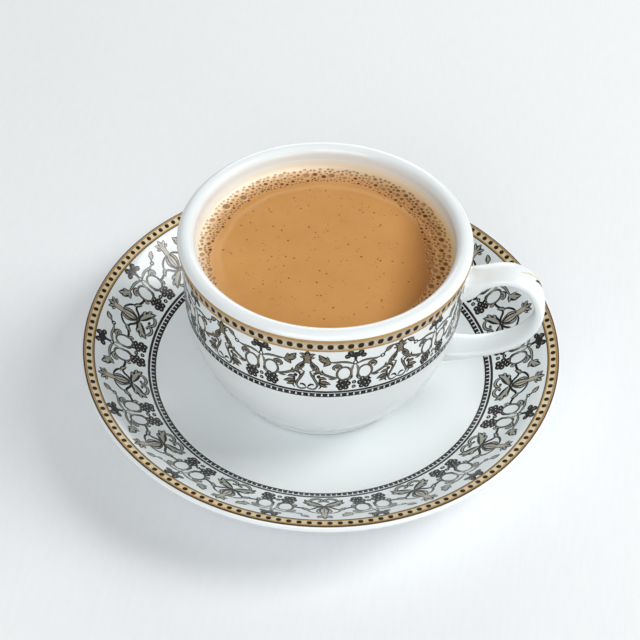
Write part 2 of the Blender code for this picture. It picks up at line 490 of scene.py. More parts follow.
def berry_cluster(reach):
    """Dark berries on a short stem above the knot; reach stretches it to the field's edge."""
    top, wing = 3.9 * reach, 2.55 * reach
    side = spot("black", 0, (1.4, top), (0.98, 0.95 * reach)) + spot("black", 0, (2.15, wing), (0.95, 0.85))
    side += spot("black", 0, (0.75, 3.0 * reach), (0.75, 0.9 * reach))
    side += line("black", 0, [(0.1, 2.1), (0.8, 2.5 * reach), (1.7, 2.6 * reach)], 0.4)
    side += line("slate", 2, [(1.1, top - 0.5), (1.4, top), (1.6, top + 0.55)], 0.2)
    side += line("slate", 2, [(1.7, wing - 0.15), (2.15, wing), (2.65, wing + 0.15)], 0.2)
    stem = line("black", 0, [(0, 0.6), (0, 1.6), (0, 3.2 * reach)], 0.5, 0.8)
    heart = spot("black", 1, (0, 3.15 * reach), (0.85, 0.95 * reach))
    return both_sides(side) + stem + heart


def floret_cluster(drop):
    """Small round florets, each with a light eye, between the ovals' feet and the bead line."""
    places = [(2.3, 0.47), (3.65, 0.52), (1.65, 0.68), (3.1, 0.74), (4.15, 0.79), (2.2, 0.94), (3.6, 0.97)]
    side = []
    for across, share in places:
        place = (across, -share * drop)
        side += dot("black", 0, place, 0.93) + dot("pale", 2, place, 0.17)
    tip = [(3.4, -0.4 * drop), (4.4, -0.55 * drop), (4.9, -0.5 * drop)]
    side += leaf("black", 0, tip, 0.8)
    middle = []
    for share in (0.62, 0.92):
        place = (0, -share * drop)
        middle += dot("black", 0, place, 0.68) + dot("pale", 2, place, 0.2)
    return both_sides(side) + middle


def three_lobed_leaf():
    """The stem over the oval and the broken leaf at its end."""
    marks = double_line([(0.5, -0.6), (1.6, 0.1), (3.4, 0.5), (5.2, 0.4), (6.8, 0.5)], 0.52)
    marks += edged_leaf([(6.2, 0.5), (7.6, -0.1), (8.5, -1.3)], 1.25)
    marks += edged_leaf([(6.4, 0.5), (8.3, 1.0), (10.0, 1.7)], 1.5)
    marks += edged_leaf([(7.2, 0.7), (8.9, 2.1), (9.9, 3.5)], 1.35)
    marks += edged_leaf([(7.0, 0.8), (7.5, 1.8), (7.6, 2.9)], 0.8)
    return marks


def bud_sprig():
    """The stem over the oval that carries a round bud and one long leaf."""
    marks = double_line([(0.5, -0.6), (1.6, 0.1), (3.4, 0.5), (5.4, 0.2), (7.1, 0.5)], 0.52)
    marks += ring("black", 0, (7.6, 0.7), (0.55, 0.55), 0.5, 8)
    marks += line("black", 0, [(7.9, 1.2), (8.4, 1.8), (8.9, 2.3)], 0.35)
    marks += edged_leaf([(8.3, 1.6), (9.5, 2.9), (10.9, 3.9)], 1.15)
    marks += edged_leaf([(8.7, 2.0), (8.9, 3.0), (9.5, 3.7)], 0.7)
    return marks


def oval_side(radii, outline, core):
    """One oval, the curl on its shoulder and the stems along it."""
    marks = ring("black", 0, (OVAL_PLACE, 0), radii, outline, 22)
    marks += ring(core, 1, (OVAL_PLACE, 0), radii, outline * OVAL_CORE, 22)
    curl = [(3.3, 2.6), (4.5, 3.4), (5.6, 2.9), (5.7, 1.8), (4.9, 1.5)]
    marks += edged_leaf(curl, 1.0, 0.4)
    marks += edged_leaf([(4.1, 2.2), (4.9, 2.6), (5.0, 1.9)], 0.7)
    stem = [(0.3, KNOT_ABOVE_OVAL - 0.7), (0.72, 2.2), (0.9, 0), (0.7, -1.8), (1.5, -2.9)]
    marks += line("black", 0, stem, 0.34)
    marks += leaf("olive", 1, [(0.5, KNOT_ABOVE_OVAL - 0.9), (0.85, 1.4), (0.8, -0.6)], 0.55, 0.3)
    return marks


def knot_mark():
    return ring("black", 0, (0, 0), (0.5, 0.72), 0.42, 8) + dot("black", 1, (0, 1.05), 0.36)


def whole_pair(side, oval, reach, low, mirror):
    """Both ovals, the knot between them, the berries above, the florets below and the two stems."""
    marks = both_sides(side) + raised(knot_mark() + berry_cluster(reach), KNOT_ABOVE_OVAL)
    marks += floret_cluster(oval - low) + raised(three_lobed_leaf() + flipped(bud_sprig()), KNOT_ABOVE_OVAL)
    marks = raised(marks, oval)
    return flipped(marks) if mirror else marks


# %% The cup's motifs
CUP_OVAL = 7.1
CUP_OVAL_RADII = (1.95, 2.62)


def cup_pair(mirror):
    side = oval_side(CUP_OVAL_RADII, 0.74, "olive")
    side += double_line([(4.5, -1.5), (5.9, -1.3), (7.5, -0.6), (9.1, 0.5),
                         (10.9, 1.7), (12.1, 3.3)], 0.58)
    side += dot("black", 0, (8.9, 0.1), 0.62) + dot("olive", 1, (8.9, 0.1), 0.25)
    side += edged_leaf([(4.6, -1.6), (6.0, -2.0), (7.2, -1.9)], 0.7)
    tendril = [(9.0, 0.3), (10.2, 0.1), (11.0, -0.8), (10.6, -1.9)]
    side += line("black", 0, tendril, 0.36)
    return whole_pair(side, CUP_OVAL, 1.0, 1.0, mirror)


def cup_palmette():
    """A bell under a small crown, between leafy feet."""
    side = edged_leaf([(0.3, 13.4), (1.4, 14.7), (2.3, 14.7)], 0.95)
    side += edged_leaf([(0.6, 13.1), (1.5, 13.3), (2.1, 13.7)], 0.6)
    side += line("black", 1, [(1.0, 13.4), (0.85, 12.4), (1.2, 11.4)], 0.26)
    side += double_line([(0.9, 12.0), (1.6, 10.9), (2.5, 9.8), (2.9, 8.7), (2.5, 7.6), (1.6, 7.2)], 0.56)
    side += line("black", 0, [(0.1, 11.5), (1.0, 10.7), (1.85, 9.5), (1.7, 8.4), (0.8, 7.8)], 0.28)
    side += double_line([(0.75, 8.0), (1.1, 6.8), (1.9, 5.0), (2.7, 3.2), (2.8, 1.9), (2.2, 1.1)], 0.52)
    side += double_line([(2.9, 1.9), (2.0, 0.75), (0.9, 0.8), (0.0, 1.3)], 0.4)
    side += leaf("black", 0, [(0.1, 1.2), (0.7, 2.3), (1.5, 2.7), (1.9, 2.1)], 0.62, 0.6)
    side += dot("black", 0, (3.1, 5.9), 0.62) + dot("black", 0, (2.2, 7.2), 0.45)
    side += line("black", 0, [(3.0, 6.6), (3.5, 5.0), (3.4, 3.4), (3.8, 1.8), (3.2, 0.9)], 0.4)
    side += edged_leaf([(3.0, 5.4), (4.3, 5.3), (5.4, 4.8)], 1.0)
    side += edged_leaf([(3.2, 4.0), (4.8, 3.5), (6.5, 2.8)], 1.25)
    side += edged_leaf([(3.3, 2.9), (4.6, 2.2), (5.6, 1.6)], 1.0)
    side += leaf("black", 0, [(3.3, 6.5), (4.1, 7.7), (3.9, 8.9)], 0.5)
    neck_path = [(0, 11.0), (0, 12.2), (0, 13.9)]
    neck = line("black", 0, neck_path, 1.4, 0.9) + line("olive", 1, neck_path, 0.95, 0.9)
    bud = edged_leaf([(0, 13.3), (0, 14.8), (0, 16.1)], 1.35) + dot("black", 2, (0, 15.1), 0.3)
    return both_sides(side) + neck + bud


# %% The saucer's motifs
SAUCER_OVAL = 8.6
SAUCER_OVAL_RADII = (2.15, 2.95)
HEART_CROSSING = 6.0


def saucer_pair(mirror):
    side = oval_side(SAUCER_OVAL_RADII, 0.66, "slate")
    tendril = [(4.6, -0.6), (5.9, -0.9), (7.3, -0.5), (8.5, 0.1)]
    side += line("black", 0, tendril, 0.42)
    side += edged_leaf([(4.7, -0.9), (5.3, -2.1), (4.7, -3.0)], 0.8)
    return whole_pair(side, SAUCER_OVAL, 1.16, 1.5, mirror)


def saucer_heart():
    """Two leaf wings round a heart, crossed stems, and a tulip with a small crown."""
    stem = [(0, 0), (1.9, 0.9), (3.3, 2.3), (4.7, 2.8)]
    side = line("black", 0, stem, 0.42, 0.7)
    side += edged_leaf([(3.8, 3.4), (5.0, 2.7), (5.9, 1.2)], 1.05)
    arch = [(4.7, 3.0), (3.9, 4.6), (2.6, 5.7), (1.0, 6.4)]
    side += line("black", 0, arch, 0.38)
    side += double_line([(0.1, 0.2), (1.3, 1.9), (2.05, 3.8), (1.6, 5.4), (0.7, 6.2)], 0.3, "slate")
    petal = [(0, 0.6), (1.05, 2.6), (1.15, 4.6), (0.4, 6.3)]
    side += line("black", 2, petal, 0.32)
    side += edged_leaf([(0.1, -0.1), (2.0, -0.9), (3.8, -2.1), (5.4, -4.2)], 1.9)
    side += edged_leaf([(2.2, -1.1), (3.7, -0.5), (4.8, -0.7)], 0.95)
    side += edged_leaf([(3.5, -2.0), (5.0, -1.9), (5.9, -2.5)], 0.9)
    side += double_line([(4.0, -2.9), (3.4, -4.3), (2.0, -5.0), (0.7, -4.6),
                         (0.35, -3.5), (1.0, -3.0)], 0.62)
    side += dot("black", 0, (1.15, -3.2), 0.45)
    side += line("black", 0, [(0.6, 6.4), (0.5, 7.6), (0.85, 9.1)], 0.26)
    side += edged_leaf([(0.3, 9.0), (1.2, 10.2), (2.1, 11.2)], 0.95)
    side += edged_leaf([(0.5, 8.9), (1.5, 9.1), (2.5, 9.7)], 0.65)
    tulip = leaf("sand", 0, [(0, 0.8), (0, 3.8), (0, 6.4)], 1.1, 0.6)
    tulip += line("black", 1, [(0, 0.8), (0, 3.4), (0, 5.8)], 0.14)
    neck_path = [(0, 6.2), (0, 7.6), (0, 9.4)]
    neck = line("black", 0, neck_path, 1.0, 0.9) + line("sand", 1, neck_path, 0.7, 0.9)
    tip = edged_leaf([(0, 8.8), (0, 10.3), (0, 12.0)], 1.1)
    marks = both_sides(side) + tulip + neck + tip + dot("black", 1, (0, 0), 0.42)
    return raised(marks, HEART_CROSSING)


print("strokes: cup pair", len(cup_pair(False)), "palmette", len(cup_palmette()),
      "saucer pair", len(saucer_pair(False)), "heart", len(saucer_heart()))

# %% [markdown]
# Wrapping the strokes on the porcelain
#
# A wrapped point needs three things: how far along the section it lies, at what azimuth, and how high above
# the glaze. Length along the section keeps the print's true size on the sloping border. The azimuth is the
# flat distance over the radius there, so that a motif has the same width at its foot and at its top.


# %% Wrap a flat point on a turned surface
def section_table(path):
    """The path with its running length, ready to be looked up."""
    lengths = [0.0]
    for a, b in zip(path, path[1:]):
        lengths.append(lengths[-1] + math.dist(a, b))
    return path, lengths


def on_section(table, distance):
    """Radius, height and outward normal at this distance along the section."""
    path, lengths = table
    place = max(0, min(bisect_right(lengths, distance) - 1, len(path) - 2))
    (r0, z0), (r1, z1) = path[place], path[place + 1]
    length = lengths[place + 1] - lengths[place]
    part = (distance - lengths[place]) / length
    before, after = path[max(place - 1, 0)], path[min(place + 2, len(path) - 1)]
    start = Vector((r1 - before[0], z1 - before[1])).normalized()
    end = Vector((after[0] - r0, after[1] - z0)).normalized()
    along = start.lerp(end, part).normalized()
    return r0 + (r1 - r0) * part, z0 + (z1 - z0) * part, along


def wrapped(table, distance, azimuth, lift):
    """A point in metres. The porcelain's outside is on the left of both paths as they run."""
    radius, height, along = on_section(table, distance)
    radius -= along.y * lift
    height += along.x * lift
    return (radius * math.cos(azimuth) * MM, radius * math.sin(azimuth) * MM, height * MM)


# %% Collect the strokes of each ink
class Ink:
    """The growing mesh of everything that one ink prints on one pot."""

    def __init__(self, name):
        self.name, self.points, self.faces = name, [], []

    def ribbon(self, place, s):
        """Adds one stroke: left edge, crown and right edge on top, and one keel below."""
        path, widths, closed = s["points"], s["half_widths"], s["closed"]
        lift = FIRST_LIFT + LAYER_LIFT * s["layer"]
        count, start = len(path), len(self.points)
        for index, (u, v) in enumerate(path):
            before = path[index - 1] if closed else path[max(index - 1, 0)]
            after = path[(index + 1) % count] if closed else path[min(index + 1, count - 1)]
            length = math.dist(before, after) or 1.0
            across = ((before[1] - after[1]) / length, (after[0] - before[0]) / length)
            w = widths[index]
            self.points.append(place(u + across[0] * w, v + across[1] * w, lift * 0.8))
            self.points.append(place(u, v, lift))
            self.points.append(place(u - across[0] * w, v - across[1] * w, lift * 0.8))
            self.points.append(place(u, v, -KEEL_DEPTH))
        for index in range(count if closed else count - 1):
            a, b = start + 4 * index, start + 4 * ((index + 1) % count)
            for side in range(4):
                beside = (side + 1) % 4
                self.faces.append((a + side, a + beside, b + beside, b + side))
        if not closed:
            end = start + 4 * (count - 1)
            self.faces.append((start + 3, start + 2, start + 1, start))
            self.faces.append((end, end + 1, end + 2, end + 3))

    def piece(self):
        mesh = bpy.data.meshes.new(self.name)
        mesh.from_pydata(self.points, [], self.faces)
        obj = bpy.data.objects.new(self.name, mesh)
        bpy.context.scene.collection.objects.link(obj)
        edit(obj)
        bpy.ops.mesh.normals_make_consistent(inside=False)
        deselect_everything()
        triangles = sum(len(face) - 2 for face in self.faces)
        print(self.name, triangles, "triangles")
        return obj


def print_strokes(inks, strokes, table, base, direction, centre, weight):
    """Wraps a motif's strokes round the azimuth of its middle; the weight widens or thins them all."""
    def place(u, v, lift):
        distance = base + direction * v
        azimuth = centre + u / on_section(table, distance)[0]
        return wrapped(table, distance, azimuth, lift)
    for s in strokes:
        inks[s["ink"]].ribbon(place, {**s, "half_widths": [width * weight for width in s["half_widths"]]})


# %% [markdown]
# The border on each pot
#
# The saucer carries fourteen pairs and fourteen hearts between its bead line and its gold band, and the cup
# ten pairs and ten palmettes. On the cup the pairs are mirrored in turn, so that two three-lobed leaves
# face each other over one palmette and two buds over the next. The azimuths are those of the real set as it
# stands, with the handle along +X. A place on a pot is a length along its section in millimetres, which
# runs outwards from the saucer's middle and down from the cup's lip.

# %% Print the saucer
SAUCER_REPEATS = 14
SAUCER_PAIR_AT = math.radians(-92.6)
SAUCER_FIELD_AT = 53.6
SAUCER_WEIGHT = 1.12

saucer_table = section_table(saucer_top)
saucer_inks = {name: Ink("saucer_print_" + name) for name in ("black", "wash", "slate", "sand", "pale")}
for repeat in range(SAUCER_REPEATS):
    pair_at = SAUCER_PAIR_AT + 2 * math.pi * repeat / SAUCER_REPEATS
    heart_at = pair_at + math.pi / SAUCER_REPEATS
    on_left = math.cos(pair_at) < -0.1
    for motif, centre in ((saucer_pair(not on_left), pair_at), (saucer_heart(), heart_at)):
        washed = recoloured(motif, "olive", "wash")
        print_strokes(saucer_inks, washed, saucer_table, SAUCER_FIELD_AT, 1, centre, SAUCER_WEIGHT)


# %% Beads and solid lines
BAND_ROW = 0.25


def print_ring(ink, table, distance, width, layer=0):
    """A turned line, built from one cross-section repeated round the axis."""
    lift = FIRST_LIFT + LAYER_LIFT * layer
    rows = max(1, round(width / BAND_ROW))
    start = len(ink.points)
    top = [distance - width / 2 + width * row / rows for row in range(rows + 1)]
    for index in range(TURNED_STEPS):
        azimuth = 2 * math.pi * index / TURNED_STEPS
        for place in top:
            ink.points.append(wrapped(table, place, azimuth, lift))
        for place in reversed(top):
            ink.points.append(wrapped(table, place, azimuth, -KEEL_DEPTH))
    size = 2 * len(top)
    for index in range(TURNED_STEPS):
        a, b = start + size * index, start + size * ((index + 1) % TURNED_STEPS)
        for corner in range(size):
            beside = (corner + 1) % size
            ink.faces.append((a + corner, a + beside, b + beside, b + corner))


def print_around(ink, marks, table, distance, count, first=0.0):
    """The same few marks, repeated this many times round the axis."""
    for number in range(count):
        centre = first + 2 * math.pi * number / count
        for s in marks:
            def place(u, v, lift):
                radius = on_section(table, distance)[0]
                return wrapped(table, distance + v, centre + u / radius, lift)
            ink.ribbon(place, s)


def bead(half_width, half_height):
    return [stroke("black", 1, [(0, -half_height), (0, 0.0), (0, half_height)], [half_width] * 3)]


# %% The saucer's beads, lines, gold band and dots
SAUCER_BEADS = 212
SAUCER_BEADS_AT = 51.95
SAUCER_DOTS = 160
SAUCER_DOTS_AT = 73.85
EDGE_POINTS = 5

print_around(saucer_inks["black"], bead(0.61, 0.62), saucer_table, SAUCER_BEADS_AT, SAUCER_BEADS)
for distance, width in ((51.3, 0.5), (53.3, 0.82)):
    print_ring(saucer_inks["black"], saucer_table, distance, width)

saucer_rim_table = section_table(saucer_top + saucer_edge[1:EDGE_POINTS])
saucer_gold, saucer_gold_edges = Ink("saucer_gold_band"), Ink("saucer_gold_edges")
saucer_lines, saucer_dots = Ink("saucer_band_lines"), Ink("saucer_band_dots")
for ink, distance, width, layer in (
    (saucer_gold, 73.9, 3.4, 0),
    (saucer_gold_edges, 72.6, 0.5, 1),
    (saucer_gold_edges, 75.0, 0.7, 1),
    (saucer_lines, 72.25, 0.36, 2),
    (saucer_lines, 75.45, 0.42, 2),
):
    print_ring(ink, saucer_rim_table, distance, width, layer)
round_dot = spot("black", 4, (0, 0), (0.74, 0.72), 0.36, 0.82)
print_around(saucer_dots, round_dot, saucer_rim_table, SAUCER_DOTS_AT, SAUCER_DOTS)
print("saucer section runs to", saucer_rim_table[1][-1], "mm")

# %% Print the cup
CUP_REPEATS = 10
CUP_PAIR_AT = math.radians(-69.1)
CUP_FIELD_AT = 20.1
CUP_WEIGHT = 0.94

cup_table = section_table(cup_outside)
cup_inks = {name: Ink("cup_print_" + name) for name in ("black", "olive", "slate", "sand", "pale")}
for repeat in range(CUP_REPEATS):
    pair_at = CUP_PAIR_AT + 2 * math.pi * repeat / CUP_REPEATS
    palmette_at = pair_at - math.pi / CUP_REPEATS
    for motif, centre in ((cup_pair(repeat % 2 == 0), pair_at), (cup_palmette(), palmette_at)):
        print_strokes(cup_inks, motif, cup_table, CUP_FIELD_AT, -1, centre, CUP_WEIGHT)

# %% The cup's beads, lines, gold band, dots and crosses
CUP_BEADS = 144
CUP_BEADS_AT = 21.85
CUP_DOTS = 96
LIP_POINTS = 5

print_around(cup_inks["black"], bead(0.68, 0.66), cup_table, CUP_BEADS_AT, CUP_BEADS)
for distance, width in ((20.45, 0.8), (22.55, 0.34), (21.2, 0.24)):
    print_ring(cup_inks["black"], cup_table, distance, width)

cup_rim_table = section_table(cup_lip[-LIP_POINTS:] + cup_outside)
lip_start = cup_rim_table[1][LIP_POINTS]
print("lip part of the cup's section:", lip_start, "mm")
cup_gold, cup_gold_edges = Ink("cup_gold_band"), Ink("cup_gold_edges")
cup_dots, cup_crosses = Ink("cup_band_lines"), Ink("cup_band_crosses")
print_ring(cup_gold, cup_rim_table, lip_start + 1.7, 5.0)
print_ring(cup_gold_edges, cup_rim_table, lip_start - 0.3, 0.8, 1)
print_ring(cup_gold_edges, cup_rim_table, lip_start + 3.85, 0.55, 1)
oval_dot = spot("black", 4, (0, 0), (0.82, 1.08), 0.42, 0.84)
print_around(cup_dots, oval_dot, cup_rim_table, lip_start + 2.05, CUP_DOTS)
cross_marks = [
    stroke("pale", 3, [(-0.5, -0.95), (0.0, 0.0), (0.5, 0.95)], [0.12, 0.14, 0.12]),
    stroke("pale", 2, [(-0.5, 0.95), (0.0, 0.0), (0.5, -0.95)], [0.12, 0.14, 0.12]),
]
print_around(cup_crosses, cross_marks, cup_rim_table, lip_start + 2.0, CUP_DOTS, math.pi / CUP_DOTS)

# %% The gold line over the handle's tip, with a small dark leaf beside it
HANDLE_GOLD = [(21.0, 90), (23.0, 80), (25.0, 68), (27.5, 48), (29.5, 34), (31.5, 24), (33.5, 20)]
HANDLE_LEAF = [(25.6, 84), (27.0, 70), (29.0, 58)]


def on_strap(points):
    """Places strokes on the strap: u and v are millimetres from a path of (place, angle) on its skin."""
    path = resampled(points, 1.0)
    last = len(path) - 1

    def place(u, v, lift):
        along, angle = path[min(last, max(0, round(v)))]
        index = min(len(strap_path) - 2, int(along))
        start = strap_point(index, math.radians(angle), lift)
        end = strap_point(index + 1, math.radians(angle), lift)
        return tuple(start.lerp(end, along - index) + Vector((0, u * MM, 0)))
    return place, [(0.0, float(number)) for number in range(last + 1)]


handle_gold, handle_leaf = Ink("handle_gold_line"), Ink("handle_leaf_mark")
for ink, points, width in ((handle_gold, HANDLE_GOLD, 0.36), (handle_leaf, HANDLE_LEAF, 0.6)):
    place, path = on_strap(points)
    tapered = [width * math.sin(math.pi * (number + 0.5) / len(path)) ** 0.6 for number in range(len(path))]
    ink.ribbon(place, stroke("black", 1, path, tapered))

# %% [markdown]
# Froth on the tea
#
# Milky tea poured from a height keeps a belt of bubbles along the wall. They are about 0.4 to 3 mm across,
# they sit close together near the porcelain, and the smallest form the belt's inner edge. Each is a low
# dome with a dark, wet middle and a paler rim. They are scattered by throwing places at random and keeping
# those that touch no other bubble, from a fixed seed, so that every run gives the same froth. Each bubble
# has a colour attribute from its middle to its rim. Hundreds of domes are mesh code again, and the spice
# uses it too.


# %% Colours
def linear(hex_colour):
    """An sRGB colour written as hex, as the linear values that Blender's shaders take."""
    parts = [int(hex_colour[i:i + 2], 16) / 255 for i in (1, 3, 5)]
    return tuple(p / 12.92 if p <= 0.04045 else ((p + 0.055) / 1.055) ** 2.4 for p in parts)


def mixed(a, b, part):
    return tuple(x + (y - x) * part for x, y in zip(a, b))


# %% Where the bubbles lie
FROTH_SEED = 11
FROTH_TRIES = 26000
FROTH_REACH = 6.5
FROTH_FROM = math.radians(38)
FROTH_OPENS = math.radians(55)
THINNEST_FROTH = 0.8
SMALLEST_BUBBLE = 0.42
LARGEST_BUBBLES = ((45, 1.5), (4000, 1.12), (FROTH_TRIES, 0.62))
BUBBLE_SPACING = 1.06
FROM_WALL = 0.35
CELL = 3.3


def froth_width(azimuth):
    """How far the froth reaches in from the wall, in millimetres: none in front, most at the back right."""
    front = math.radians(-90)
    away = abs((azimuth - front + math.pi) % (2 * math.pi) - math.pi)
    opened = min(1.0, max(0.0, (away - FROTH_FROM) / FROTH_OPENS))
    wavy = 1 + 0.1 * math.sin(3 * azimuth + 0.6) + 0.06 * math.sin(7 * azimuth)
    narrower_left = 1 - 0.2 * max(0.0, -math.cos(azimuth))
    return FROTH_REACH * opened ** 0.7 * wavy * narrower_left


def scattered_bubbles():
    """(x, y, radius, (share of the way in, depth of tone)) of every bubble that found room."""
    random.seed(FROTH_SEED)
    kept = []
    cells = {}
    for attempt in range(FROTH_TRIES):
        azimuth = random.uniform(-math.pi, math.pi)
        width = froth_width(azimuth)
        share = random.random() ** 0.9
        size = random.random()
        largest = next(radius for tries, radius in LARGEST_BUBBLES if attempt < tries)
        if width < THINNEST_FROTH:
            continue
        radius = (SMALLEST_BUBBLE + (largest - SMALLEST_BUBBLE) * size) * (1.0 - 0.5 * share ** 2)
        distance = TEA_EDGE - FROM_WALL - radius - share * width
        x, y = distance * math.cos(azimuth), distance * math.sin(azimuth)
        column, row = round(x / CELL), round(y / CELL)
        near = [b for i in (-1, 0, 1) for j in (-1, 0, 1) for b in cells.get((column + i, row + j), [])]
        if all(math.hypot(x - b[0], y - b[1]) > (radius + b[2]) * BUBBLE_SPACING for b in near):
            depth = random.uniform(0.35, 1.0) ** 0.6 * (0.55 + 0.45 * min(1.0, 3 * share))
            bubble = (x, y, radius, (share, depth))
            kept.append(bubble)
            cells.setdefault((column, row), []).append(bubble)
    return kept


# %% Low domes on the tea
BUBBLE_SIDES = 12


def tea_height(distance):
    """The tea's surface at this distance from the axis: flat, then climbing the wall."""
    for (r0, z0), (r1, z1) in zip(open_tea, open_tea[1:]):
        if r0 <= distance <= r1:
            return z0 + (z1 - z0) * (distance - r0) / (r1 - r0)
    return TEA_LEVEL


def domed(name, bubbles, rings, colour_of):
    """One mesh of low domes; rings are (share of the radius, height over the radius, tone)."""
    points, faces, colours = [], [], []
    for x, y, radius, share in bubbles:
        base = tea_height(math.hypot(x, y))
        start = len(points)
        for reach, height, tone in rings:
            for side in range(BUBBLE_SIDES):
                angle = 2 * math.pi * side / BUBBLE_SIDES
                points.append(((x + radius * reach * math.cos(angle)) * MM,
                               (y + radius * reach * math.sin(angle)) * MM, (base + radius * height) * MM))
                colours.append(colour_of(x, y, share, tone, angle))
        top = len(points)
        points.append((x * MM, y * MM, (base + radius * rings[-1][1] * 1.08) * MM))
        colours.append(colour_of(x, y, share, rings[-1][2], 0.0))
        for row in range(len(rings) - 1):
            for side in range(BUBBLE_SIDES):
                beside = (side + 1) % BUBBLE_SIDES
                a, b = start + row * BUBBLE_SIDES, start + (row + 1) * BUBBLE_SIDES
                faces.append((a + side, a + beside, b + beside, b + side))
        last = start + (len(rings) - 1) * BUBBLE_SIDES
        for side in range(BUBBLE_SIDES):
            faces.append((last + side, last + (side + 1) % BUBBLE_SIDES, top))
        faces.append(tuple(start + side for side in reversed(range(BUBBLE_SIDES))))
    mesh = bpy.data.meshes.new(name)
    mesh.from_pydata(points, [], faces)
    attribute = mesh.color_attributes.new("tone", "FLOAT_COLOR", "POINT")
    for index, colour in enumerate(colours):
        attribute.data[index].color = (*colour, 1.0)
    obj = bpy.data.objects.new(name, mesh)
    bpy.context.scene.collection.objects.link(obj)
    edit(obj)
    bpy.ops.mesh.normals_make_consistent(inside=False)
    bpy.ops.mesh.faces_shade_smooth()
    deselect_everything()
    print(name, len(bubbles), "pieces,", len(faces), "faces")
    return obj


# %% Froth
BUBBLE_DARK = linear("#5C2B08")
# The paler middles and cream rims on the left are partly the froth's own colour, partly painted light.
BUBBLE_PALE_AND_LIT = linear("#A86A2E")
RIM_BROWN = linear("#C48E54")
RIM_CREAM_AND_LIT = linear("#F3DBB6")
# A painted highlight: the rim is lighter on its side away from the window, where light through the bubble
# gathers.
RIM_PAINTED_HIGHLIGHT = linear("#F3D5A6")
PAINTED_HIGHLIGHT_FROM = math.radians(205)
PAINTED_HIGHLIGHT_SHARE = 0.5
FROTH_RINGS = [(1.0, -0.06, 0.8), (0.95, 0.1, 1.0), (0.84, 0.18, 0.5), (0.7, 0.2, 0.05), (0.34, 0.19, 0.0)]


def bubble_tone(x, y, look, tone, angle):
    """Dark in the middle and paler at the rim, with a painted highlight on the rim's side away from the
    window.
    """
    share, depth = look
    # Paler towards the left: partly the froth's own cream, partly painted light, as the right lies in the
    # wall's shadow.
    leftness = min(1.0, max(0.0, 0.5 - x / (2 * TEA_EDGE)))
    rim = mixed(RIM_BROWN, RIM_CREAM_AND_LIT, leftness * (1 - share) ** 0.5)
    # Painted highlight on the rim, strongest on the side away from the window.
    rim = mixed(rim, RIM_PAINTED_HIGHLIGHT, PAINTED_HIGHLIGHT_SHARE * max(0.0, math.cos(angle - PAINTED_HIGHLIGHT_FROM)) ** 1.5)
    middle = mixed(BUBBLE_DARK, BUBBLE_PALE_AND_LIT, 0.7 * leftness ** 1.5 * (1 - share))
    return mixed(mixed(rim, middle, depth), rim, tone)


froth = domed("froth_bubbles", scattered_bubbles(), FROTH_RINGS, bubble_tone)

# %% Spice specks
SPICE_SEED = 5
SPECK_COUNT = 330
SPECK_REACH = 29
SPECK_SIZES = (0.1, 0.12, 0.15, 0.18, 0.23, 0.32)
SPECK_DARK = linear("#77451B")
SPECK_SOFT = linear("#A8713B")
SPECK_RINGS = [(1.0, -0.08, 0.0), (0.8, 0.1, 0.0)]


def speck_tone(x, y, soft, tone, angle):
    return mixed(SPECK_DARK, SPECK_SOFT, soft)


random.seed(SPICE_SEED)
specks = []
for number in range(SPECK_COUNT):
    distance = SPECK_REACH * math.sqrt(random.random())
    azimuth = random.uniform(-math.pi, math.pi)
    size = random.choice(SPECK_SIZES)
    soft = random.random() ** 0.55
    specks.append((distance * math.cos(azimuth), distance * math.sin(azimuth), size, soft))
spice = domed("spice_specks", specks, SPECK_RINGS, speck_tone)

# %% [markdown]
# Materials
#
# Glazed porcelain is a white body under clear glass: smooth, bright and slightly uneven where the glaze
# pooled. The print lies under the same glaze, so its inks share that gloss. The bands are a dull, matte
# lustre fired on top, and the brown dots on them are matte too. The tea is an opaque liquid, so it is a
# coloured surface with the sheen of water. One small function adds a node of any kind, another feeds an
# input, and the shader's own sockets take what is the same everywhere.


# %% Nodes, a material, a mottled tint and a rippled surface
def feed(tree, target, value):
    """Gives an input a value, or a link from a socket, or from a node's first live output."""
    if isinstance(value, bpy.types.Node):
        value = next(socket for socket in value.outputs if socket.enabled)
    if isinstance(value, bpy.types.NodeSocket):
        tree.links.new(value, target)
    else:
        target.default_value = value


def node(tree, kind, inputs=None, **properties):
    """Adds a shader node with its properties and inputs."""
    made = tree.nodes.new("ShaderNode" + kind)
    for key, value in properties.items():
        setattr(made, key, value)
    for key, value in (inputs or {}).items():
        feed(tree, made.inputs[key], value)
    return made


def opaque(hex_colour):
    return (*linear(hex_colour), 1.0)


def material(name, roughness, ior=1.5, metallic=0.0, coat=0.0, coat_roughness=0.05, gloss=0.5):
    """A new material and its shader, with the values that are the same all over."""
    made = bpy.data.materials.new(name)
    made.use_nodes = True
    shader = made.node_tree.nodes["Principled BSDF"]
    values = {"Roughness": roughness, "IOR": ior, "Metallic": metallic, "Coat Weight": coat,
              "Coat Roughness": coat_roughness, "Specular IOR Level": gloss}
    for key, value in values.items():
        shader.inputs[key].default_value = value
    return made, made.node_tree, shader


def mottled(tree, place, scale, detail, hex_colour, hex_other, roughness=0.5):
    """Two near tints in soft patches: the scale is how many there are in a metre."""
    texture = {"Vector": place, "Scale": scale, "Detail": detail, "Roughness": roughness}
    patches = node(tree, "TexNoise", texture)
    return node(tree, "Mix", {"Factor": patches, "A": opaque(hex_colour), "B": opaque(hex_other)},
                data_type="RGBA")


def between(low, high):
    """The range in millimetres that a Map Range node reads."""
    return {"From Min": low * MM, "From Max": high * MM}


def rippled(tree, place, shader, scale, strength, depth):
    """Slow waves that bend the highlights: the scale is how many there are in a metre."""
    waves = node(tree, "TexNoise", {"Vector": place, "Scale": scale, "Detail": 1.0})
    bump = node(tree, "Bump", {"Height": waves, "Strength": strength, "Distance": depth})
    feed(tree, shader.inputs["Normal"], bump)


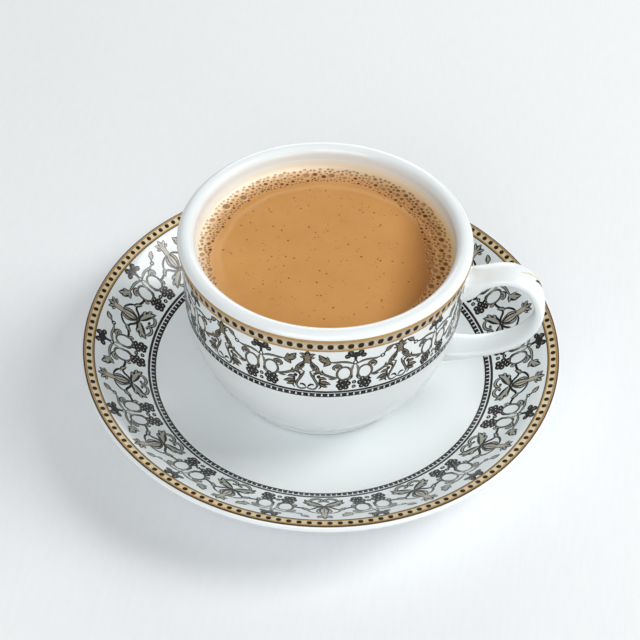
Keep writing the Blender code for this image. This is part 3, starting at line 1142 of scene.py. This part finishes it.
# %% Glazed porcelain: white body under clear glaze, with a slow unevenness that bends its highlights
def glazed_porcelain(name, hex_colour, hex_shade):
    made, tree, shader = material(name, 0.2, ior=1.52, coat=0.12, coat_roughness=0.06)
    place = node(tree, "TexCoord").outputs["Object"]
    tint = mottled(tree, place, 28.0, 3.0, hex_colour, hex_shade)
    feed(tree, shader.inputs["Base Color"], tint)
    rippled(tree, place, shader, 60.0, 0.03, 0.0006)
    return made


porcelain = glazed_porcelain("porcelain_glazed", "#EDF2F3", "#E8EDEE")


# %% Enamel print and dull lustre: flat pigment, a little patchy over about a millimetre
def enamel_print(name, hex_colour, hex_thin, roughness=0.2, metallic=0.0, grain=900.0, gloss=0.5):
    made, tree, shader = material(name, roughness, metallic=metallic, gloss=gloss)
    place = node(tree, "TexCoord").outputs["Object"]
    tint = mottled(tree, place, grain, 2.0, hex_colour, hex_thin)
    feed(tree, shader.inputs["Base Color"], tint)
    return made


ENAMELS = {
    "black": ("#0A0908", "#2B2826", "border_black"),
    "olive": ("#665E4E", "#8A806C", "border_olive"),
    "wash": ("#8E8F83", "#B1B2A6", "border_olive"),
    "slate": ("#55554F", "#7F7E76", "border_olive"),
    "sand": ("#A79C88", "#C6BDAA", "border_gold"),
    "pale": ("#C9C6BE", "#E0DED8", "porcelain"),
}
ink_finish = {}
for name, (hex_colour, hex_thin, slot) in ENAMELS.items():
    ink_finish[name] = (enamel_print("enamel_print_" + name, hex_colour, hex_thin), slot)
brown_enamel = enamel_print("enamel_print_brown", "#1A0F07", "#3A2510", roughness=0.5, gloss=0.15)
tan_enamel = enamel_print("enamel_print_tan", "#3E2C13", "#5E4522", roughness=0.45, gloss=0.3)

LUSTRE = {"roughness": 0.42, "metallic": 0.15, "grain": 1200.0}
gold_lustre = enamel_print("gold_lustre_dull", "#D3BE93", "#E8DAB8", **LUSTRE)
cup_lustre = enamel_print("gold_lustre_tan", "#B9A37E", "#D0BF9F", **LUSTRE)
gold_edge = enamel_print("gold_lustre_worn_edge", "#A27D47", "#BE985F", **LUSTRE)


# %% Milky tea: an opaque brown liquid with the gloss of water, and a film that fades up the wall
TEA_BROWN = "#BD8344"
TEA_LIGHT = "#D59E5F"
SKIN_PALE = "#E0C09A"
# The darker brown is partly painted shade, for the wall's shadow on the tea's right side.
TEA_DEEP_AND_SHADE = "#93602F"
SKIN_CENTRE = (0.8, -2.8)
SKIN_RADIUS = 30.2
SKIN_SWAY = 2.2
SKIN_STEP = (0.2, 1.4)
SKIN_BEHIND = (-20, -8)
DEEP_AND_SHADE_INSIDE = (SKIN_RADIUS + 1.2, SKIN_RADIUS - 0.2)
DEEP_AND_SHADE_RIGHT = (17, 31)
FRONT_TO_BACK = (-30, -6)
RIGHT_TO_LEFT = (34, -30)
LEVEL_ONLY = (1.0, 1.0, 0.0)
FILM_SIDE = (0.8, 0.6, 0.0)
FILM_LOWEST = 0.8
ACROSS_CUP = (-TEA_EDGE, TEA_EDGE * 0.7)

# Each belt: radii where it starts and is full, how it blends, and its tints on the right and the left.
# The tints are partly the froth's own and partly painted light: darker on the right, in the wall's shadow.
TEA_BELTS = (
    (29.5, 36.4, "LINEAR", "#BF8D59", "#E6BE8C"),
    (32.6, 36.5, "SMOOTHSTEP", "#DDB983", "#FFF2DE"),
)
# Each tint of the film: the shares of its height where it starts and is full. The tints are the film's own
# cream, made lighter as painted bounce light on the shaded wall.
FILM_TINTS_AND_BOUNCE = ((0.08, 0.42, "#F4E6CC"), (0.35, 0.97, "#F1F3F0"))


def tea_skin(tree, place, parts, colour):
    """The pale step where the tea's skin ends inside the froth, and painted shade on the right, partly
    deeper tea.
    """
    centre = (SKIN_CENTRE[0] * MM, SKIN_CENTRE[1] * MM, 0.0)
    offset = node(tree, "VectorMath", {0: place, 1: centre}, operation="SUBTRACT")
    level = node(tree, "VectorMath", {0: offset, 1: LEVEL_ONLY}, operation="MULTIPLY")
    reach = node(tree, "VectorMath", {0: level}, operation="LENGTH")
    away = node(tree, "Math", {0: reach, 1: SKIN_RADIUS * MM}, operation="SUBTRACT")
    drift = node(tree, "TexNoise", {"Vector": level, "Scale": 70.0, "Detail": 1.0})
    sway_range = {"To Min": -SKIN_SWAY * MM, "To Max": SKIN_SWAY * MM}
    sway = node(tree, "MapRange", {"Value": drift, **sway_range})
    swayed = node(tree, "Math", {0: away, 1: sway}, operation="ADD")
    size = node(tree, "Math", {0: swayed}, operation="ABSOLUTE")
    step_range = {**between(*SKIN_STEP), "To Min": 0.2, "To Max": 0.0}
    step = node(tree, "MapRange", {"Value": size, **step_range})
    behind = node(tree, "MapRange", {"Value": parts.outputs["Y"], **between(*SKIN_BEHIND)})
    share = node(tree, "Math", {0: step, 1: behind}, operation="MULTIPLY")
    pale = node(tree, "Mix", {"Factor": share, "A": colour, "B": opaque(SKIN_PALE)}, data_type="RGBA")
    # Painted shade, partly the tea's own deeper brown: the tea darkens on the right inside the skin, where
    # the wall shadows it.
    inside = node(tree, "MapRange", {"Value": reach, **between(*DEEP_AND_SHADE_INSIDE)})
    deep_and_shade_rightness = node(tree, "MapRange", {"Value": parts.outputs["X"], **between(*DEEP_AND_SHADE_RIGHT)},
                     interpolation_type="SMOOTHSTEP")
    depth = node(tree, "Math", {0: inside, 1: deep_and_shade_rightness}, operation="MULTIPLY")
    return node(tree, "Mix", {"Factor": depth, "A": pale, "B": opaque(TEA_DEEP_AND_SHADE)}, data_type="RGBA")


def milky_tea(name):
    made, tree, shader = material(name, 0.12, ior=1.34)
    place = node(tree, "TexCoord").outputs["Object"]
    parts = node(tree, "SeparateXYZ", {"Vector": place})
    colour = mottled(tree, place, 55.0, 7.0, TEA_BROWN, TEA_LIGHT, 0.62)
    flat = node(tree, "VectorMath", {0: place, 1: LEVEL_ONLY}, operation="MULTIPLY")
    distance = node(tree, "VectorMath", {0: flat}, operation="LENGTH")
    backness = node(tree, "MapRange", {"Value": parts.outputs["Y"], **between(*FRONT_TO_BACK)})
    leftness = node(tree, "MapRange", {"Value": parts.outputs["X"], **between(*RIGHT_TO_LEFT)})
    for start, full, blend, hex_right, hex_left in TEA_BELTS:
        belt = node(tree, "MapRange", {"Value": distance, **between(start, full)},
                    interpolation_type=blend)
        share = node(tree, "Math", {0: belt, 1: backness}, operation="MULTIPLY")
        tints = {"A": opaque(hex_right), "B": opaque(hex_left)}
        # Partly painted shade and light: the belt is darker to the right, where the wall shadows it, and
        # paler to the left.
        tint = node(tree, "Mix", {"Factor": leftness, **tints}, data_type="RGBA")
        colour = node(tree, "Mix", {"Factor": share, "A": colour, "B": tint}, data_type="RGBA")
    towards = node(tree, "VectorMath", {0: place, 1: FILM_SIDE}, operation="DOT_PRODUCT")
    film_range = {"To Min": FILM_LOWEST * MM, "To Max": (FILM_TOP - TEA_LEVEL) * MM}
    film_height = node(tree, "MapRange", {"Value": towards, **between(*ACROSS_CUP), **film_range})
    above = node(tree, "Math", {0: parts.outputs["Z"], 1: TEA_LEVEL * MM}, operation="SUBTRACT")
    climbed = node(tree, "Math", {0: above, 1: film_height}, operation="DIVIDE")
    # The film's tints carry painted bounce light: they are lighter than the milk film in the wall's shade.
    for start, full, hex_colour in FILM_TINTS_AND_BOUNCE:
        share = node(tree, "MapRange", {"Value": climbed, "From Min": start, "From Max": full})
        colour = node(tree, "Mix", {"Factor": share, "A": colour, "B": opaque(hex_colour)},
                      data_type="RGBA")
    feed(tree, shader.inputs["Base Color"], tea_skin(tree, place, parts, colour))
    rippled(tree, place, shader, 90.0, 0.08, 0.0008)
    return made


tea_finish = milky_tea("chai_milky_tea")


# %% Froth and spice: wet films, coloured by the bubbles' own attribute, with a grain of about 0.7 mm
def wet_froth(name, roughness, gloss):
    made, tree, shader = material(name, roughness, ior=1.34, gloss=gloss)
    tone = node(tree, "VertexColor", layer_name="tone")
    place = node(tree, "TexCoord").outputs["Object"]
    grain = node(tree, "TexNoise", {"Vector": place, "Scale": 1500.0, "Detail": 1.0})
    lift = node(tree, "MapRange", {"Value": grain, "To Min": 0.88, "To Max": 1.12})
    shaded = node(tree, "VectorMath", {0: tone, "Scale": lift}, operation="SCALE")
    feed(tree, shader.inputs["Base Color"], shaded)
    return made


froth_film = wet_froth("chai_froth_film", 0.12, 0.12)
spice_grain = wet_froth("chai_spice_grain", 0.5, 0.1)


# %% [markdown]
# Dress the model
#
# Each finished piece takes its material, rides on the one body, and replaces the CAD solid that it
# stands for. The printed pieces replace nothing: they lie on the porcelain.


# %% Dress
def dress(obj, finish, slot):
    obj.data.materials.clear()
    obj.data.materials.append(finish)
    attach(obj, "root")
    return obj


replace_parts(dress(saucer, porcelain, "porcelain"), "saucer")
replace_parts(dress(cup, porcelain, "porcelain"), "cup")
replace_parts(dress(tea, tea_finish, "tea"), "chai")
dress(froth, froth_film, "tea")
dress(spice, spice_grain, "tea")
for inks in (saucer_inks, cup_inks):
    for name, ink in inks.items():
        if ink.faces:
            dress(ink.piece(), *ink_finish[name])
for ink, finish, slot in (
    (saucer_gold, gold_lustre, "border_gold"),
    (saucer_gold_edges, gold_edge, "border_gold"),
    (cup_gold_edges, gold_edge, "border_gold"),
    (handle_gold, gold_lustre, "border_gold"),
    (handle_leaf, brown_enamel, "border_black"),
    (saucer_lines, tan_enamel, "border_black"),
    (saucer_dots, brown_enamel, "border_black"),
    (cup_gold, cup_lustre, "border_gold"),
    (cup_dots, brown_enamel, "border_black"),
    (cup_crosses, *ink_finish["pale"]),
):
    dress(ink.piece(), finish, slot)

# %% [markdown]
# Floor, light and camera
#
# The set stands on a pale, matte board in a bright room. The main light is a window high on the right, a
# little to the back, so the shadow falls softly to the left. A broad soft light in front, a small low one
# at the front right and one behind fill the shadows, and the room gives a little light from all round. The
# camera was worked out from the circles in the picture: it looks down at about 45 degrees, from 40 cm,
# through a long lens.

# %% Floor
deselect_everything()
bpy.ops.mesh.primitive_plane_add(size=6.0, location=(0, 0, 0))
floor = bpy.context.active_object
floor.name = "pale_board"
board, board_tree, board_shader = material("board_pale_matte", 0.75)
board_place = node(board_tree, "TexCoord").outputs["Object"]
board_grain = node(board_tree, "Mapping", {"Vector": board_place, "Scale": (1.0, 0.12, 1.0)})
board_tint = mottled(board_tree, board_grain, 900.0, 2.0, "#EAECEE", "#F0F2F4")
feed(board_tree, board_shader.inputs["Base Color"], board_tint)
floor.data.materials.append(board)

# %% Lights
LIGHTS = {
    "window": ((1.15, 0.34, 1.08), 0.74, 15.8, (1.0, 0.995, 0.98)),
    "right_low": ((0.95, -1.05, 0.24), 0.6, 2.8, (0.98, 0.995, 1.0)),
    "front_fill": ((-0.1, -1.3, 1.1), 1.2, 13.4, (0.98, 0.995, 1.0)),
    "back_fill": ((-0.2, 1.6, 0.52), 1.0, 7.4, (0.98, 0.995, 1.0)),
}
CUP_MIDDLE = Vector((0, 0, 0.03))
ROOM_LIGHT = 0.3
ROOM_COLOUR = (0.98, 0.99, 0.99, 1.0)
for name, (place, size, power, colour) in LIGHTS.items():
    light = bpy.data.lights.new(name, "AREA")
    light.shape = "SQUARE"
    light.size = size
    light.energy = power
    light.color = colour
    lamp = bpy.data.objects.new(name, light)
    bpy.context.scene.collection.objects.link(lamp)
    away = Vector(place) - CUP_MIDDLE
    lamp.matrix_world = Matrix.Translation(Vector(place)) @ away.to_track_quat("Z", "Y").to_matrix().to_4x4()
world = bpy.data.worlds.new("bright_room")
world.use_nodes = True
world.node_tree.nodes["Background"].inputs["Color"].default_value = ROOM_COLOUR
world.node_tree.nodes["Background"].inputs["Strength"].default_value = ROOM_LIGHT
bpy.context.scene.world = world
bpy.context.scene.view_settings.view_transform = "Standard"
print("lights:", len(LIGHTS))

# %% Camera
FOCAL_PIXELS = 1297.0
FRAME_PIXELS = 640
CAMERA_DISTANCE = 0.397
LOOK_DOWN = math.radians(45.37)
ROLL = math.radians(2.14)
SET_TURN = math.radians(8.0)
LOOK_AT = (-0.0007, 0.0057, 0.020)

camera = bpy.data.cameras.new("camera")
camera.sensor_width = 36.0
camera.lens = FOCAL_PIXELS / FRAME_PIXELS * camera.sensor_width
viewer = bpy.data.objects.new("camera", camera)
bpy.context.scene.collection.objects.link(viewer)
round_z = Matrix.Rotation(SET_TURN, 4, "Z")
forward = round_z @ Vector((0, math.cos(LOOK_DOWN), -math.sin(LOOK_DOWN)))
stand = round_z @ Vector(LOOK_AT) - forward * CAMERA_DISTANCE
look = forward.to_track_quat("-Z", "Y").to_matrix().to_4x4()
viewer.matrix_world = Matrix.Translation(stand) @ look @ Matrix.Rotation(ROLL, 4, "Z")
bpy.context.scene.camera = viewer
